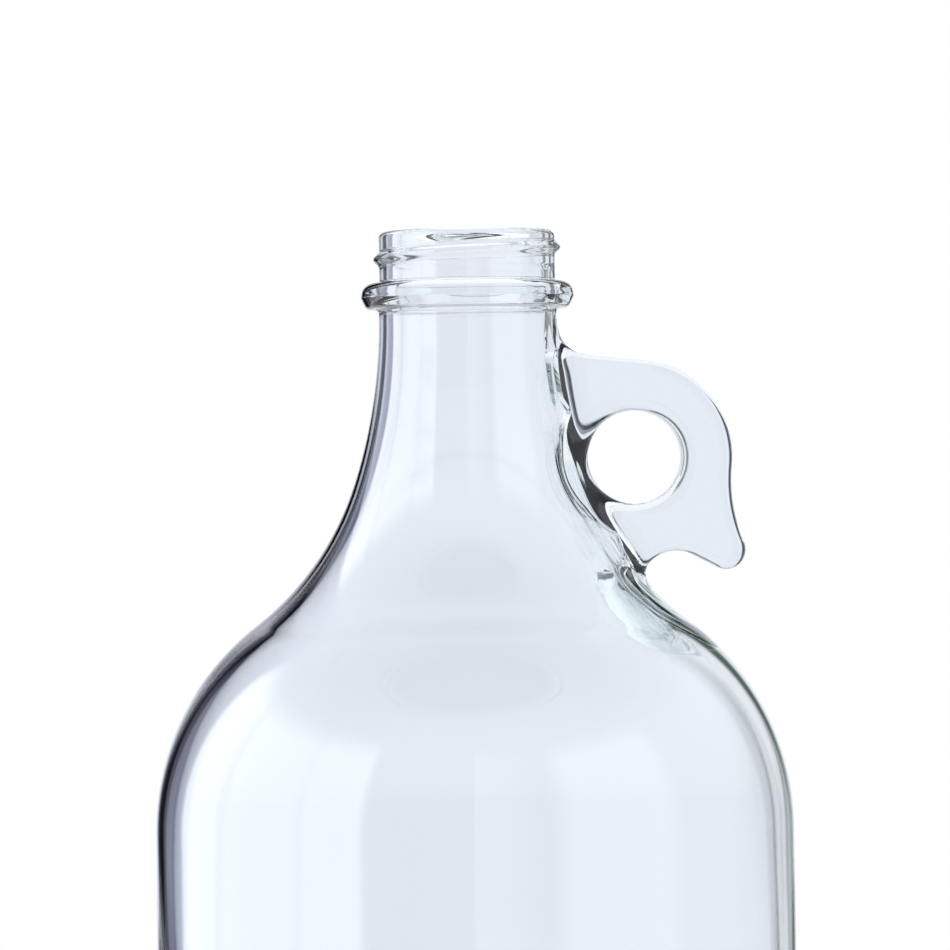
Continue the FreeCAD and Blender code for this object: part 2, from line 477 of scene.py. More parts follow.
@dataclass
class GlassForm:
    """The jug's outside and inside as outlines and as distance fields."""

    vessel: Vessel
    finish: Finish = Finish()
    handle: Handle = Handle()
    roots: RootGlass = RootGlass()
    spacing: Spacing = Spacing()
    field_depth: float = 5.0

    def __post_init__(self) -> None:
        """Places the finger hole and draws the outlines that the fields use."""
        vessel, finish = self.vessel, self.finish
        self.hole = np.array([self.handle.hole_x, vessel.height - self.handle.hole_depth])
        self.neck_outside = self.flare(finish.neck_radius, vessel.body_radius, 0.0)
        self.neck_inside = self.flare(finish.bore_radius, vessel.body_radius - vessel.wall, vessel.wall)
        self.plate = self.plate_outline()

    def steepest_deg(self, neck_radius: float, body_radius: float, thickening: float) -> float:
        """Slope where the flare turns into the domed shoulder.

        Args:
            neck_radius: of the straight neck.
            body_radius: of the straight body.
            thickening: how far the line lies inside the outer wall's.

        Returns:
            Degrees from vertical.
        """
        vessel = self.vessel
        cosine = math.cos(math.radians(vessel.neck_arc_deg))
        neck_arc = vessel.neck_arc + thickening
        flare_arc = vessel.flare_arc + thickening
        shoulder_arc = vessel.shoulder_arc - thickening
        spread = body_radius - neck_radius - neck_arc * (1 - cosine)
        steepest = math.acos((flare_arc * cosine + shoulder_arc - spread) / (flare_arc + shoulder_arc))
        return math.degrees(steepest)

    def add_flare(
        self, outline: Outline, neck_radius: float, body_radius: float, thickening: float
    ) -> None:
        """Adds the three arcs from the straight neck to the straight body wall.

        Args:
            outline: the line to add to.
            neck_radius: of the straight neck.
            body_radius: of the straight body.
            thickening: how far the line lies inside the outer wall's.
        """
        vessel = self.vessel
        steepest = self.steepest_deg(neck_radius, body_radius, thickening)
        outline.line_to(neck_radius, vessel.height - self.finish.neck_depth)
        outline.turn(vessel.neck_arc + thickening, vessel.neck_arc_deg)
        outline.turn(vessel.flare_arc + thickening, steepest - vessel.neck_arc_deg)
        outline.turn(vessel.shoulder_arc - thickening, -steepest)

    def flare(self, neck_radius: float, body_radius: float, thickening: float) -> Outline:
        """The wall's line for a distance field.

        Args:
            neck_radius: of the straight neck.
            body_radius: of the straight body.
            thickening: how far the line lies inside the outer wall's.

        Returns:
            The line from near the rim down to the base.
        """
        outline = Outline(neck_radius, self.vessel.height - self.field_depth, -90)
        self.add_flare(outline, neck_radius, body_radius, thickening)
        outline.line_to(body_radius, 0.0)
        return outline

    def outside(self) -> Outline:
        """The jug's outer wall.

        Returns:
            The line from inside the mouth over the rim and down to the middle of the base.
        """
        vessel, finish, spacing = self.vessel, self.finish, self.spacing
        top = vessel.height
        line = Outline(finish.bore_radius, top - finish.mouth_depth, 90, spacing.mouth)
        line.forward(finish.mouth_depth - finish.rim_round)
        line.spacing = spacing.rim
        line.turn(finish.rim_round, -90)
        line.rounded_corner((finish.land_radius, top), (finish.land_radius, 0.0), finish.rim_round)
        line.spacing = spacing.land
        line.line_to(finish.land_radius, top - finish.land_depth + finish.land_foot_round)
        line.spacing = spacing.bead
        line.turn(finish.land_foot_round, 90)
        ridge = (finish.ridge_radius, top - finish.ridge_depth)
        line.rounded_corner((finish.bead_radius, top - finish.land_depth), ridge, finish.bead_top_round)
        low = (finish.bead_lower_radius, top - finish.bead_lower_depth)
        line.rounded_corner(ridge, low, finish.ridge_round)
        under = (finish.neck_radius, low[1])
        line.rounded_corner(low, under, finish.bead_lower_round)
        line.rounded_corner(under, (finish.neck_radius, 0.0), finish.bead_lower_round)
        line.spacing = spacing.shoulder
        self.add_flare(line, finish.neck_radius, vessel.body_radius, 0.0)
        line.spacing = spacing.body
        line.line_to(vessel.body_radius, vessel.heel_round)
        line.spacing = spacing.heel
        line.turn(vessel.heel_round, -90)
        line.forward(vessel.bearing_width)
        line.turn(vessel.push_up_round, -vessel.push_up_deg)
        line.forward(vessel.push_up_step)
        self.add_dome(line)
        return line

    def inside(self) -> Outline:
        """The hollow's wall.

        Returns:
            The line from inside the mouth down to the middle of the hollow's floor.
        """
        vessel, finish, spacing = self.vessel, self.finish, self.spacing
        line = Outline(finish.bore_radius, vessel.height - finish.mouth_depth, -90, spacing.hollow)
        self.add_flare(line, finish.bore_radius, vessel.body_radius - vessel.wall, vessel.wall)
        line.spacing = spacing.body
        line.line_to(line.x, vessel.base_thickness + vessel.inner_heel_round)
        line.spacing = spacing.heel
        line.turn(vessel.inner_heel_round, -90)
        line.turn(vessel.push_up_round, -vessel.push_up_deg)
        self.add_dome(line)
        return line

    def add_dome(self, outline: Outline) -> None:
        """Adds the shallow dome of the pushed-up base, as far as the jug's axis.

        Args:
            outline: the line to add to, which climbs at the dome's slope.
        """
        outline.spacing = self.spacing.dome
        slope_deg = self.vessel.push_up_deg
        outline.turn(outline.x / math.sin(math.radians(slope_deg)), slope_deg)

    def plate_outline(self) -> Outline:
        """The handle's edge: ring, saddle, thumb tail, underside, notch and foot.

        Returns:
            The line in the XZ plane, from inside the neck to inside the shoulder.
        """
        handle = self.handle
        slope = math.radians(handle.ring_slope_deg)
        ring_x = self.hole[0] + handle.ring_radius * math.sin(slope)
        ring_z = self.hole[1] + handle.ring_radius * math.cos(slope)
        root_x = self.finish.neck_radius - handle.root_sink
        corner = (root_x, ring_z + (ring_x - root_x) * math.tan(slope))
        start_z = corner[1] + handle.top_root_round + handle.root_lead
        line = Outline(root_x, start_z, -90, self.spacing.plate)
        line.rounded_corner(corner, (ring_x, ring_z), handle.top_root_round)
        line.line_to(ring_x, ring_z)
        line.turn(handle.ring_radius, handle.saddle_deg + handle.ring_slope_deg - 90)
        line.turn(handle.saddle_arc, handle.tail_deg - 180 - handle.saddle_deg)
        line.turn(handle.tail_round, handle.underside_deg - handle.tail_deg - 90)
        under = math.radians(handle.underside_deg)
        notch_top = handle.notch_x - handle.notch_round * math.sin(under - math.pi)
        line.forward((notch_top - line.x) / math.cos(under))
        line.turn(handle.notch_round, 360 + handle.foot_deg - handle.underside_deg)
        line.turn(handle.foot_turn, handle.foot_end_deg - handle.foot_deg)
        line.forward(handle.foot_length)
        return line

    def plate_field(self, points: Points) -> np.ndarray:
        """Distance to the handle as a rounded plate that spreads at its roots, without its hole.

        Args:
            points: rows of three coordinates.

        Returns:
            The distances, negative inside the plate.
        """
        handle = self.handle
        flat = points[:, [0, 2]]
        edge = self.plate.signed_distance(flat)
        edge = np.maximum(edge, self.finish.neck_radius - handle.depth_in_neck - points[:, 0])
        near = np.clip(1 - self.neck_outside.signed_distance(flat) / handle.root_reach, 0.0, 1.0)
        across = np.abs(points[:, 1]) - handle.half_thickness - handle.root_flare * near**2
        across /= np.hypot(1.0, 2 * handle.root_flare / handle.root_reach * near)
        rounding = handle.edge_round + handle.root_edge_round * near**2
        outer = np.hypot(np.maximum(edge + rounding, 0), np.maximum(across + rounding, 0))
        return outer + np.minimum(np.maximum(edge, across) + rounding, 0) - rounding

    def joined_field(self, points: Points) -> np.ndarray:
        """Distance to the neck, shoulder and handle blended together, without the finger hole.

        Args:
            points: rows of three coordinates.

        Returns:
            The distances, negative in the glass and the hollow.
        """
        handle = self.handle
        radial = np.stack([np.hypot(points[:, 0], points[:, 1]), points[:, 2]], axis=1)
        wall = self.neck_outside.signed_distance(radial)
        below_bead = self.vessel.height - points[:, 2] - self.finish.neck_depth
        grown = np.clip(below_bead / handle.blend_growth, 0.0, 1.0)
        blend = handle.top_blend + grown * (handle.root_blend - handle.top_blend)
        return smooth_min(wall, self.plate_field(points), blend)

    def outside_field(self, points: Points) -> np.ndarray:
        """Distance to the jug's outside near the handle.

        Args:
            points: rows of three coordinates.

        Returns:
            The distances, negative in the glass and the hollow.
        """
        handle = self.handle
        from_hole = np.hypot(points[:, 0] - self.hole[0], points[:, 2] - self.hole[1])
        toward_wall = np.clip((self.hole[0] - points[:, 0]) / np.maximum(from_hole, 1.0), 0.0, 1.0)
        rim_blend = handle.hole_edge_blend + handle.hole_wall_blend * toward_wall
        return smooth_max(self.joined_field(points), handle.hole_radius - from_hole, rim_blend)

    def inside_field(self, points: Points) -> np.ndarray:
        """Distance to the hollow, which follows the outside into the roots and clears the finger hole.

        Args:
            points: rows of three coordinates.

        Returns:
            The distances, negative in the hollow.
        """
        roots = self.roots
        radial = np.stack([np.hypot(points[:, 0], points[:, 1]), points[:, 2]], axis=1)
        outward = np.clip(self.neck_outside.signed_distance(points[:, [0, 2]]), 0.0, roots.closed_beyond)
        closing = roots.closing * (outward / roots.reach) ** roots.closing_power
        release = roots.release * np.clip(self.plate_field(points) / roots.release_width, 0.0, 1.0)
        in_roots = self.joined_field(points) + roots.wall + closing + release
        hollow = smooth_min(self.neck_inside.signed_distance(radial), in_roots, roots.root_blend)
        pad = np.array([roots.pad_x, 0.0, self.vessel.height - roots.pad_depth])
        below = self.vessel.height - roots.pad_top_depth - points[:, 2]
        solid = smooth_min(roots.pad_radius - np.linalg.norm(points - pad, axis=1), below, roots.pad_blend)
        hollow = smooth_max(hollow, solid, roots.cut_blend)
        from_hole = np.hypot(points[:, 0] - self.hole[0], points[:, 2] - self.hole[1])
        return smooth_max(hollow, roots.boss_radius - from_hole, roots.cut_blend)


# ---------------------------------------------------------------------------
# Meshes in millimetres
# ---------------------------------------------------------------------------


def grid_faces(rows: int, columns: int, closed: bool) -> np.ndarray:
    """Corner numbers of the quads of a grid stored row by row.

    Args:
        rows: rows of points.
        columns: points in a row.
        closed: whether the last column joins the first.

    Returns:
        One row of four corner numbers for each quad.
    """
    row = np.arange(rows - 1)[:, None]
    column = np.arange(columns if closed else columns - 1)[None, :]
    after = (column + 1) % columns
    corners = [row * columns + column, row * columns + after]
    corners += [(row + 1) * columns + after, (row + 1) * columns + column]
    return np.stack(np.broadcast_arrays(*corners), axis=-1).reshape(-1, 4)


def spun(profile: Points, angles: np.ndarray) -> Points:
    """Points of an outline turned to each angle.

    Args:
        profile: rows of two coordinates, the radius and the height.
        angles: in radians.

    Returns:
        A grid of points with one row for each point of the outline.
    """
    radius, height = profile[:, :1], profile[:, 1:]
    x, y = radius * np.cos(angles), radius * np.sin(angles)
    return np.stack([x, y, np.broadcast_to(height, x.shape)], axis=-1)


def column_angles() -> np.ndarray:
    """The angle of each column of points round the jug, with the handle's side in the middle."""
    return np.arange(-COLUMNS // 2, COLUMNS // 2) * (2 * math.pi / COLUMNS)


@dataclass
class Patch:
    """Points and quads, with how far each point may slide: 0 stays, 1 slides freely."""

    points: Points
    faces: np.ndarray
    freedom: np.ndarray

    def __post_init__(self) -> None:
        """Flattens grids of points into rows."""
        self.points = self.points.reshape(-1, 3)
        self.freedom = self.freedom.reshape(-1)

    @staticmethod
    def joined(patches: list["Patch"]) -> "Patch":
        """Several patches as one, with shared points made one point and unused points left out.

        Args:
            patches: the patches, whose shared points agree to SHARED_DIGITS decimals.

        Returns:
            The joined patch.
        """
        starts = np.cumsum([0] + [len(patch.points) for patch in patches[:-1]])
        points = np.vstack([patch.points for patch in patches])
        freedom = np.concatenate([patch.freedom for patch in patches])
        faces = np.vstack([patch.faces + start for patch, start in zip(patches, starts)])
        places = np.round(points, SHARED_DIGITS)
        _, first, owner = np.unique(places, axis=0, return_index=True, return_inverse=True)
        used, corners = np.unique(owner.reshape(-1)[faces], return_inverse=True)
        return Patch(points[first[used]], corners.reshape(-1, 4), freedom[first[used]])

    def relax(self, shape: Field, rounds: int) -> None:
        """Spreads the points evenly over the surface where a field is zero.

        Args:
            shape: the field.
            rounds: how many times to spread and settle.
        """
        sides = np.vstack([self.faces[:, [corner, (corner + 1) % 4]] for corner in range(4)])
        sides = np.unique(np.sort(sides, axis=1), axis=0)
        first, second = sides[:, 0], sides[:, 1]
        count = len(self.points)
        neighbours = np.bincount(first, minlength=count) + np.bincount(second, minlength=count)
        pull = (EASE * self.freedom)[:, None]
        moving = self.freedom > 0
        for _ in range(rounds):
            total = np.zeros_like(self.points)
            for axis in range(3):
                total[:, axis] += np.bincount(first, self.points[second, axis], count)
                total[:, axis] += np.bincount(second, self.points[first, axis], count)
            middle = total / neighbours[:, None]
            self.points += (middle - self.points) * pull
            self.points[moving] = settle(shape, self.points[moving])
        self.points[moving] = settle(shape, self.points[moving], LAST_ROUNDS)


@dataclass
class HandleZone:
    """Outside of the neck and upper shoulder with the ring handle, as one welded patch.

    The profile holds the wall's points, from the neck's top to below the handle's foot.
    """

    form: GlassForm
    profile: Points
    half_columns: int = 8
    rings: int = 14
    through: int = 12
    slack_faces: int = 10
    slack_rows: int = 5
    neck_clearance: float = 0.3
    wall_clearance: float = 0.6

    def __post_init__(self) -> None:
        """Spins the wall and keeps the stretch of the handle's edge that stands clear of it."""
        form, profile = self.form, self.profile
        depth = form.vessel.height - profile[:, 1]
        self.top = int(np.argmax(depth >= form.handle.top_depth))
        self.foot = int(np.argmax(depth >= form.handle.foot_depth))
        self.wall = spun(profile, column_angles())
        self.middle = COLUMNS // 2
        edge = form.plate.samples()
        edge = edge[edge[:, 0] > profile[self.top, 0] + self.neck_clearance]
        self.edge = edge[form.neck_outside.signed_distance(edge) > self.wall_clearance]

    def wall_patch(self) -> Patch:
        """The spun wall round the handle, with an opening where the handle joins.

        Returns:
            The patch, whose points slide only near the opening.
        """
        rows, columns = self.wall.shape[:2]
        faces = grid_faces(rows, columns, True)
        row, column = np.divmod(np.arange(len(faces)), columns)
        under = (row >= self.top) & (row < self.foot)
        under &= (column >= self.middle - self.half_columns) & (column < self.middle + self.half_columns)
        row, column = np.arange(rows)[:, None], np.arange(columns)[None, :]
        beside = np.clip(np.abs(column - self.middle) - self.half_columns, 0, None)
        beyond = np.clip(np.maximum(self.top - row, row - self.foot), 0, None)
        freedom = 1 - np.maximum(beside, beyond) / self.slack_faces
        freedom = np.minimum(freedom, np.minimum(row, rows - 1 - row) / self.slack_rows)
        return Patch(self.wall, faces[~under], np.clip(freedom, 0, 1))

    def loop(self, side: Side) -> Points:
        """The closed line where a flank ends.

        Args:
            side: the flank's side.

        Returns:
            Points down the handle's edge and back up the wall beside the opening.
        """
        column = self.middle + side.value * self.half_columns
        across = np.full(len(self.edge), side.value * self.form.handle.half_thickness)
        rim = np.stack([self.edge[:, 0], across, self.edge[:, 1]], axis=1)
        return np.vstack([
            self.wall[self.top:self.top + 1, column],
            rim,
            self.wall[self.top + 1:self.foot + 1, column][::-1],
        ])

    def hole_angles(self) -> np.ndarray:
        """Where the points round the finger hole stand, so that the rings between stay even.

        Returns:
            An angle in radians for each point of the loop, halfway between its own angle and an
            even spacing.
        """
        loop = self.loop(Side.BACK)
        offset = loop[:, [0, 2]] - self.form.hole
        angle = np.unwrap(np.arctan2(offset[:, 1], offset[:, 0]))
        length = np.linalg.norm(np.diff(loop, axis=0, append=loop[:1]), axis=1)
        even = angle[0] - 2 * math.pi * np.concatenate([[0.0], np.cumsum(length)[:-1]]) / length.sum()
        return (angle + even) / 2

    def hole_points(self, across: float) -> Points:
        """Points round the finger hole.

        Args:
            across: their place along Y.

        Returns:
            One point for each point of the loop.
        """
        angle, radius = self.hole_angles(), self.form.handle.hole_radius
        x = self.form.hole[0] + radius * np.cos(angle)
        z = self.form.hole[1] + radius * np.sin(angle)
        return np.stack([x, np.full_like(x, across), z], axis=1)

    def flank(self, side: Side) -> Patch:
        """One flat side of the handle.

        Args:
            side: which of the two.

        Returns:
            Rings from the finger hole to the loop.
        """
        inner = self.hole_points(side.value * self.form.handle.half_thickness)
        loop = self.loop(side)
        share = np.linspace(0, 1, self.rings + 1)[:, None, None]
        rings = inner * (1 - share) + loop * share
        rings[-1] = loop
        return Patch(rings, grid_faces(len(rings), len(loop), True), np.ones(rings.shape[:2]))

    def through_hole(self) -> Patch:
        """The wall of the finger hole.

        Returns:
            Rows of points round the hole, from one flank to the other.
        """
        half = self.form.handle.half_thickness
        places = np.linspace(-half, half, self.through + 1)
        rows = np.stack([self.hole_points(across) for across in places])
        return Patch(rows, grid_faces(len(rows), rows.shape[1], True), np.ones(rows.shape[:2]))

    def rim_band(self) -> Patch:
        """The handle's edge face.

        Returns:
            Rows of points across the handle, from the neck over the ring and tail to the foot.
        """
        half = self.form.handle.half_thickness
        across = np.linspace(-half, half, 2 * self.half_columns + 1)
        columns = slice(self.middle - self.half_columns, self.middle + self.half_columns + 1)
        rows = np.empty((len(self.edge) + 2, len(across), 3))
        rows[0] = self.wall[self.top, columns]
        rows[1:-1, :, 0] = self.edge[:, :1]
        rows[1:-1, :, 1] = across
        rows[1:-1, :, 2] = self.edge[:, 1:]
        rows[-1] = self.wall[self.foot, columns]
        return Patch(rows, grid_faces(len(rows), len(across), False), np.ones(rows.shape[:2]))

    def build(self, rounds: int) -> Patch:
        """Welds the parts and spreads them over the glass.

        Args:
            rounds: how many times to spread and settle.

        Returns:
            The finished patch.
        """
        flanks = [self.flank(side) for side in (Side.BACK, Side.FRONT)]
        patch = Patch.joined([self.wall_patch(), *flanks, self.through_hole(), self.rim_band()])
        patch.relax(self.form.outside_field, rounds)
        return patch


@dataclass
class HollowZone:
    """Inside of the neck and shoulder, with the pockets and the glass round the handle's roots.

    The profile holds the inner wall's points from the top down.
    """

    form: GlassForm
    profile: Points
    free_deg: float = 50.0
    fade_deg: float = 20.0
    slack_rows: int = 6

    def build(self, rounds: int) -> Patch:
        """Spins the wall and spreads it over the glass.

        Args:
            rounds: how many times to spread and settle.

        Returns:
            The finished patch, whose points slide only on the handle's side.
        """
        angles = column_angles()
        wall = spun(self.profile, angles)
        rows, columns = wall.shape[:2]
        row = np.arange(rows)[:, None]
        beside = np.clip(np.abs(angles) - math.radians(self.free_deg), 0, None)[None, :]
        near_ends = np.minimum(row, rows - 1 - row) / self.slack_rows
        freedom = np.minimum(near_ends, 1 - beside / math.radians(self.fade_deg))
        patch = Patch(wall, grid_faces(rows, columns, True), np.clip(freedom, 0, 1))
        patch.relax(self.form.inside_field, rounds)
        return patch


# ---------------------------------------------------------------------------
# Node groups
# ---------------------------------------------------------------------------


@dataclass
class Wiring:
    """Adds nodes to a tree and joins them up, each to the right of the last."""

    tree: bpy.types.NodeTree
    node_step: float = 180.0
    mix_first: int = 6
    mix_second: int = 7
    mix_result: int = 2

    def add(self, kind: str, **settings: object) -> bpy.types.Node:
        """Adds a node.

        Args:
            kind: the node's type.
            settings: its options.

        Returns:
            The node.
        """
        node = self.tree.nodes.new(kind)
        node.location = (self.node_step * len(self.tree.nodes), 0)
        for name, value in settings.items():
            setattr(node, name, value)
        return node

    def feed(self, socket: bpy.types.NodeSocket, value: object) -> None:
        """Links a socket to another, or sets its plain value.

        Args:
            socket: the input.
            value: another node's output, or a number, colour or data-block.
        """
        if isinstance(value, bpy.types.NodeSocket):
            self.tree.links.new(value, socket)
        else:
            socket.default_value = value

    def fill(self, node: bpy.types.Node, **values: object) -> bpy.types.Node:
        """Feeds the inputs of a node by their names.

        Args:
            node: the node.
            values: what each input gets, with underscores for the spaces of its name.

        Returns:
            The node.
        """
        for name, value in values.items():
            self.feed(node.inputs[name.replace("_", " ")], value)
        return node

    def math(self, operation: str, *values: object) -> bpy.types.NodeSocket:
        """One sum.

        Args:
            operation: the Math node's operation.
            values: its numbers or sockets.

        Returns:
            The result.
        """
        node = self.add("ShaderNodeMath", operation=operation)
        for socket, value in zip(node.inputs, values):
            self.feed(socket, value)
        return node.outputs[0]

    def mix(self, share: object, first: object, second: object) -> bpy.types.NodeSocket:
        """One colour blended into another.

        Args:
            share: how much of the second colour, from 0 to 1.
            first: the colour at 0.
            second: the colour at 1.

        Returns:
            The blended colour.
        """
        node = self.add("ShaderNodeMix", data_type="RGBA")
        self.feed(node.inputs["Factor"], share)
        self.feed(node.inputs[self.mix_first], first)
        self.feed(node.inputs[self.mix_second], second)
        return node.outputs[self.mix_result]

    def either(
        self, share: object, first: bpy.types.Node, second: bpy.types.Node
    ) -> bpy.types.NodeSocket:
        """One shader blended into another.

        Args:
            share: how much of the second shader, from 0 to 1.
            first: the shader's node at 0.
            second: the shader's node at 1.

        Returns:
            The blended shader.
        """
        node = self.add("ShaderNodeMixShader")
        for socket, value in zip(node.inputs, (share, first.outputs[0], second.outputs[0])):
            self.feed(socket, value)
        return node.outputs[0]

    def ramp(self, value: object, low: object, high: object) -> bpy.types.NodeSocket:
        """A smooth rise from 0 to 1.

        Args:
            value: what rises.
            low: where the rise starts.
            high: where it ends.

        Returns:
            The share of the rise.
        """
        node = self.add("ShaderNodeMapRange", interpolation_type="SMOOTHSTEP")
        for socket, entry in zip(node.inputs, (value, low, high, 0.0, 1.0)):
            self.feed(socket, entry)
        return node.outputs[0]


class Spinner:
    """Geometry Nodes that turn an outline about Z and raise a screw thread on its finish."""

    NUMBERS = (
        "Thread Pitch", "Thread Crest", "Thread Width", "Thread Zero Height",
        "First Turn", "Last Turn", "Fade Turns", "Land Radius",
    )

    LAND_FROM, LAND_FULL = 0.96, 0.995
    MERGE = 1e-6

    def __init__(self) -> None:
        """Builds the node group."""
        self.tree = bpy.data.node_groups.new("spun_glass", "GeometryNodeTree")
        self.socket_ids: dict[str, str] = {}
        self.build()

    def sockets(self) -> None:
        """Names the group's inputs and its output."""
        kinds = [("Outline", "NodeSocketGeometry"), ("Rows", "NodeSocketInt"), ("Columns", "NodeSocketInt")]
        kinds += [(name, "NodeSocketFloat") for name in self.NUMBERS]
        kinds += [("Glass", "NodeSocketMaterial")]
        for name, kind in kinds:
            socket = self.tree.interface.new_socket(name, in_out="INPUT", socket_type=kind)
            self.socket_ids[name] = socket.identifier
        self.tree.interface.new_socket("Mesh", in_out="OUTPUT", socket_type="NodeSocketGeometry")

    def thread_rise(
        self,
        wiring: Wiring,
        given: bpy.types.NodeOutputs,
        turn: object,
        radius: object,
        height: object,
    ) -> bpy.types.NodeSocket:
        """How far the thread lifts the land at a turn and height.

        Args:
            wiring: the tree's wiring.
            given: the group's inputs.
            turn: share of a whole turn, from -0.5 to 0.5.
            radius: the outline's radius.
            height: the outline's height.

        Returns:
            The rise in metres.
        """
        sums = wiring.math
        climb = sums("SUBTRACT", height, given["Thread Zero Height"])
        climbed = sums("DIVIDE", climb, given["Thread Pitch"])
        nearest = sums("ADD", turn, sums("ROUND", sums("SUBTRACT", climbed, turn)))
        offset = sums("MULTIPLY", sums("SUBTRACT", climbed, nearest), given["Thread Pitch"])
        across = sums("MINIMUM", sums("ABSOLUTE", sums("DIVIDE", offset, given["Thread Width"])), 0.5)
        hump = sums("MULTIPLY_ADD", sums("COSINE", sums("MULTIPLY", across, 2 * math.pi)), 0.5, 0.5)
        first, last, fade = given["First Turn"], given["Last Turn"], given["Fade Turns"]
        grown = wiring.ramp(nearest, first, sums("ADD", first, fade))
        gone = wiring.ramp(nearest, last, sums("SUBTRACT", last, fade))
        outward = sums("DIVIDE", radius, given["Land Radius"])
        on_land = wiring.ramp(outward, self.LAND_FROM, self.LAND_FULL)
        ends = sums("MULTIPLY", sums("MULTIPLY", grown, gone), on_land)
        return sums("MULTIPLY", sums("MULTIPLY", hump, ends), given["Thread Crest"])

    def build(self) -> None:
        """Joins up the nodes."""
        self.sockets()
        wiring = Wiring(self.tree)
        given = wiring.add("NodeGroupInput").outputs
        sums = wiring.math
        grid = wiring.add("GeometryNodeMeshGrid")
        wiring.fill(grid, Vertices_X=sums("ADD", given["Columns"], 1.0), Vertices_Y=given["Rows"])
        number = wiring.add("GeometryNodeInputIndex").outputs[0]
        column = sums("FLOOR", sums("DIVIDE", sums("ADD", number, 0.5), given["Rows"]))
        row = sums("SUBTRACT", number, sums("MULTIPLY", column, given["Rows"]))
        place = wiring.add("GeometryNodeInputPosition").outputs[0]
        sample = wiring.add("GeometryNodeSampleIndex", data_type="FLOAT_VECTOR")
        wiring.fill(sample, Geometry=given["Outline"], Value=place, Index=sums("ROUND", row))
        parts = wiring.fill(wiring.add("ShaderNodeSeparateXYZ"), Vector=sample.outputs[0]).outputs
        turn = sums("SUBTRACT", sums("DIVIDE", column, given["Columns"]), 0.5)
        rise = self.thread_rise(wiring, given, turn, parts[0], parts[2])
        radius = sums("ADD", parts[0], rise)
        angle = sums("MULTIPLY", turn, 2 * math.pi)
        spot = wiring.add("ShaderNodeCombineXYZ")
        wiring.feed(spot.inputs[0], sums("MULTIPLY", radius, sums("COSINE", angle)))
        wiring.feed(spot.inputs[1], sums("MULTIPLY", radius, sums("SINE", angle)))
        wiring.feed(spot.inputs[2], parts[2])
        moved = wiring.add("GeometryNodeSetPosition")
        wiring.fill(moved, Geometry=grid.outputs["Mesh"], Position=spot.outputs[0])
        merged = wiring.add("GeometryNodeMergeByDistance")
        wiring.fill(merged, Geometry=moved.outputs[0], Distance=self.MERGE)
        real = wiring.fill(wiring.add("GeometryNodeRealizeInstances"), Geometry=merged.outputs[0])
        painted = wiring.fill(wiring.add("GeometryNodeSetMaterial"), Geometry=real.outputs[0])
        wiring.feed(painted.inputs["Material"], given["Glass"])
        wiring.fill(wiring.add("NodeGroupOutput"), Mesh=painted.outputs[0])

    def turned(self, profile: Points, thread: Thread, form: GlassForm, glass: bpy.types.Material) -> Patch:
        """A patch spun from an outline in millimetres.

        Args:
            profile: the outline's points from one end to the other.
            thread: the screw thread, which shows only where the outline has its land.
            form: the jug's sizes.
            glass: the material.

        Returns:
            The patch in millimetres, whose points stay where they are.
        """
        places = np.stack([profile[:, 0], np.zeros(len(profile)), profile[:, 1]], axis=1) * MM
        outline = bpy.data.meshes.new("outline")
        outline.from_pydata(places.tolist(), [], [])
        holder = bpy.data.objects.new("outline", outline)
        bpy.context.scene.collection.objects.link(holder)
        modifier = holder.modifiers.new("spin", "NODES")
        modifier.node_group = self.tree
        values = {
            "Rows": len(profile),
            "Columns": COLUMNS,
            "Thread Pitch": thread.pitch * MM,
            "Thread Crest": thread.crest * MM,
            "Thread Width": thread.width * MM,
            "Thread Zero Height": (form.vessel.height - thread.depth_at_handle - thread.pitch) * MM,
            "First Turn": thread.first_turn,
            "Last Turn": thread.first_turn + thread.turns,
            "Fade Turns": thread.fade_turns,
            "Land Radius": form.finish.land_radius * MM,
            "Glass": glass,
        }
        for name, value in values.items():
            modifier[self.socket_ids[name]] = value
        graph = bpy.context.evaluated_depsgraph_get()
        mesh = bpy.data.meshes.new_from_object(holder.evaluated_get(graph), depsgraph=graph)
        holder.modifiers.remove(modifier)
        bpy.data.objects.remove(holder)
        points = np.empty(len(mesh.vertices) * 3)
        mesh.vertices.foreach_get("co", points)
        faces = [list(face.vertices) for face in mesh.polygons]
        quads = np.array([face + face[-1:] * (4 - len(face)) for face in faces])
        bpy.data.meshes.remove(mesh)
        bpy.data.meshes.remove(outline)
        return Patch(points.reshape(-1, 3) / MM, quads, np.zeros(len(points) // 3))


# ---------------------------------------------------------------------------
# Glass
# ---------------------------------------------------------------------------


